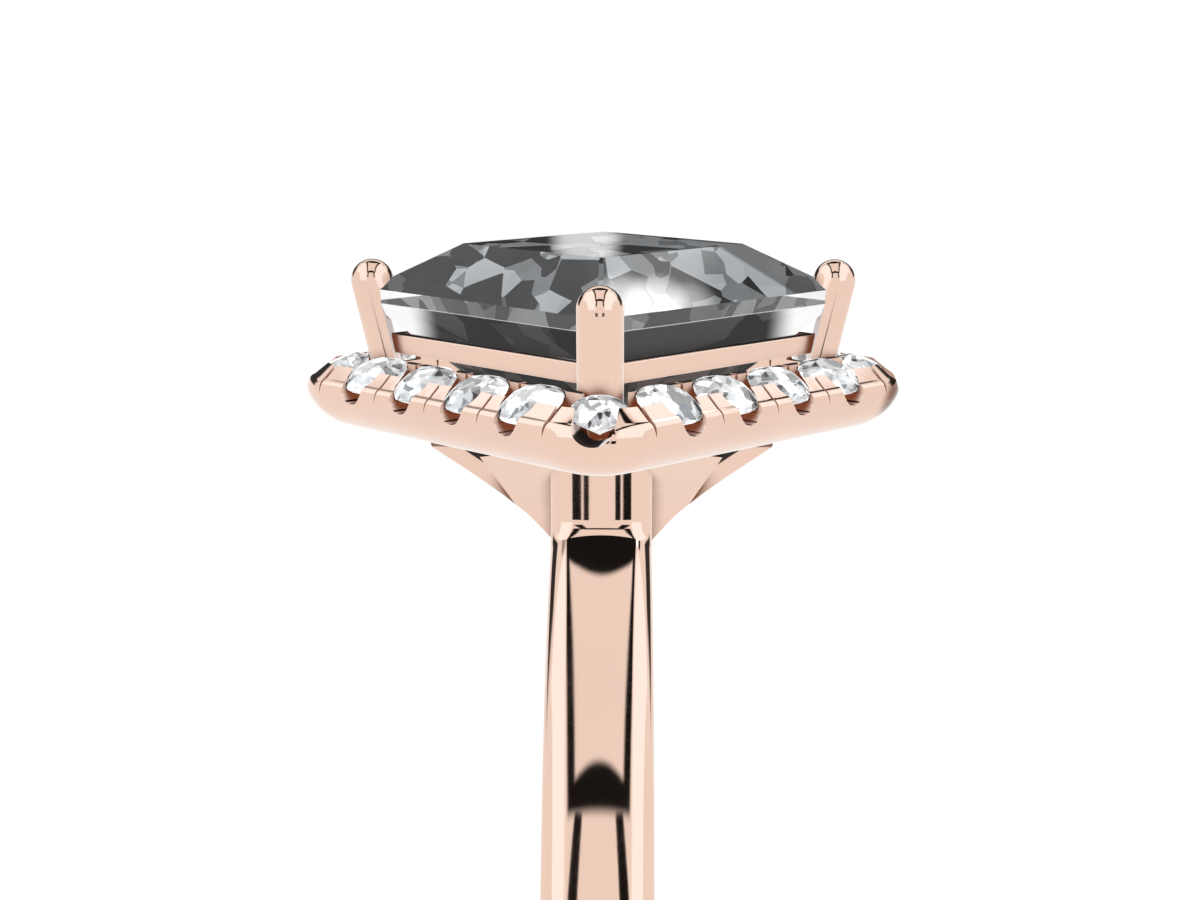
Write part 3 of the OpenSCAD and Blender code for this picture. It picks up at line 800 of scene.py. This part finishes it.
def along(direction):
    """How far a direction of view goes along a standing direction: their dot product."""
    return n.add("ShaderNodeVectorMath", {"operation": "DOT_PRODUCT"}, {0: look, 1: lying(direction)}, 1)


def window(angle, low, high, soft):
    """1 between two angles, with soft edges."""
    return n.smooth(angle, low - soft, low + soft) * n.smooth(angle, high - soft, high + soft, 1.0, 0.0)


def spot(direction, inner, outer):
    """1 within the inner angle of a standing direction, and 0 beyond the outer one."""
    return n.smooth(along(direction), math.cos(math.radians(outer)), math.cos(math.radians(inner)))


DEGREES = 180 / math.pi
ax, ay, az = along((1, 0, 0)), along((0, 1, 0)), along((0, 0, 1))
height = az.math("ARCSINE") * DEGREES
tilt_x = ax.math("ARCTAN2", az) * DEGREES
tilt_y = ay.math("ARCTAN2", (ax * ax + az * az).math("SQRT")) * DEGREES
side_turn = (ay.math("ARCTAN2", ax.math("ABSOLUTE")) * DEGREES).math("ABSOLUTE")
front = n.smooth(ax, -0.2, -0.4)
print("angle nodes:", len(world.node_tree.nodes))

# %% [markdown]
# A soft light hangs over the ring in a black frame. Two of the frame's bars have bowed inner
# edges and give the band its two black shapes, and the other two give the long lines down it.
# Outside the frame the tent is brighter and a little cooler, so that the band's edges are pale
# and not yellow. Pairs of black strips in front stripe the standing ends. The large stone gets
# four things of its own: a dark card behind it for the table, a darker patch for each front face
# of the crown, and three small lamps in a row for the soft glare beside the front claw.

# %% The cards and lamps of the tent
OUTSIDE_X, OUTSIDE_Y, INSIDE_Y, BOW = 43, 20.5, 15.5, 0.037
frame_out = window(tilt_x, -OUTSIDE_X, OUTSIDE_X, 2.0) * window(tilt_y, -OUTSIDE_Y, OUTSIDE_Y, 1.0)
bow = tilt_y * tilt_y * BOW
lower_edge = n.smooth(tilt_x + bow * 0.42, -32.5, -29.5)
upper_edge = n.smooth(tilt_x - bow, 19.8, 22.8, 1.0, 0.0)
frame_in = lower_edge * upper_edge * window(tilt_y, -INSIDE_Y, INSIDE_Y, 1.0)
lower_strips, upper_strips = window(height, -28, -10.5, 1.0), window(height, 20, 47, 3.0)
outer_strips = window(side_turn, 15.5, 22.5, 0.6) * (lower_strips + upper_strips) * front
inner_strips = window(side_turn, 9.8, 13.8, 0.5) * lower_strips * front
card_hole = spot((1, 0.02, 0.09), 0.4, 1.2)
card = window(height, 3, 24, 2.0) * n.smooth(ax, 0.45, 0.6) * (1 - card_hole)
left_patch = spot((0.64, 0.4264, 0.6388), 3.0, 5.0)
right_patch = spot((0.65, -0.4264, 0.6288), 2.2, 3.2)
dark = frame_out * (1 - frame_in)
for shade in (outer_strips, inner_strips, card * 0.97, right_patch, left_patch * 0.6):
    dark = dark.math("MAXIMUM", shade)
pale_sides = window(tilt_y.math("ABSOLUTE"), 23, 60, 2.0) * window(tilt_x, -86, 40, 3.0)
LAMPS = [((0.6165, -0.37, 0.69), 1.2, 1.0), ((0.6215, -0.383, 0.679), 1.2, 1.0),
         ((0.6265, -0.396, 0.668), 1.0, 0.5)]
lamps = sum(spot(direction, 0.1, outer) * share for direction, outer, share in LAMPS)
bright = (1.03 + pale_sides * 0.35) * (1 - dark * 0.99) + lamps * 5
cloth = n.mix(pale_sides, (1, 1, 1, 1), (0.93, 1.01, 1.08, 1))
tent = n.add("ShaderNodeBackground", None, {"Color": cloth, "Strength": bright})
plain = n.add("ShaderNodeBackground", None, {"Color": (1, 1, 1, 1), "Strength": 1.0})
camera_ray = n.add("ShaderNodeLightPath")
background = n.add("ShaderNodeMixShader", None, {0: camera_ray, 1: tent, 2: plain})
n.add("ShaderNodeOutputWorld", None, {"Surface": background})
print("world nodes:", len(world.node_tree.nodes))

# %% [markdown]
# The camera is close, as for a picture of a jewel: about 40 mm from the ring's middle and a few
# millimetres above its stone. The distance matters, because near things look larger: it is what
# makes the front of the halo wider than its back. A constraint could aim the camera, but the same
# place and aim, laid down with the ring, give the same view without one. Light bounces often
# between facets and in the notches, so more bounces are allowed than usual.

# %% The camera
def camera_matrix(place, pitch, yaw):
    """Place and aim of a camera that looks along X and down by the pitch, turned about Z by yaw."""
    p = math.radians(pitch)
    forward, side = np.array([math.cos(p), 0, -math.sin(p)]), np.array([0, -1.0, 0])
    axes = turned(np.array([side, np.cross(side, forward), -forward]), yaw)
    columns = [laid_down(v) * 1000 for v in axes] + [laid_down(turned(np.array(place, float), yaw))]
    matrix = np.eye(4)
    matrix[:3] = np.array(columns).T
    return matrix.tolist()


camera = bpy.data.objects.new("camera", bpy.data.cameras.new("camera"))
bpy.context.scene.collection.objects.link(camera)
camera.data.lens, camera.data.sensor_width = 57.9, 36.0
camera.data.shift_x = -0.0025
camera.data.clip_start, camera.data.clip_end = 0.001, 20.0
camera.matrix_world = mathutils.Matrix(camera_matrix(place=(-40, 0, 18.5), pitch=11.39, yaw=0.65))
bpy.context.scene.camera = camera
bpy.context.scene.view_settings.view_transform = "Standard"
bpy.context.scene.cycles.max_bounces = 32
bpy.context.scene.cycles.glossy_bounces = 24
bpy.context.scene.cycles.transmission_bounces = 32
print("camera at, mm:", [round(v * 1000, 1) for v in camera.matrix_world.translation])
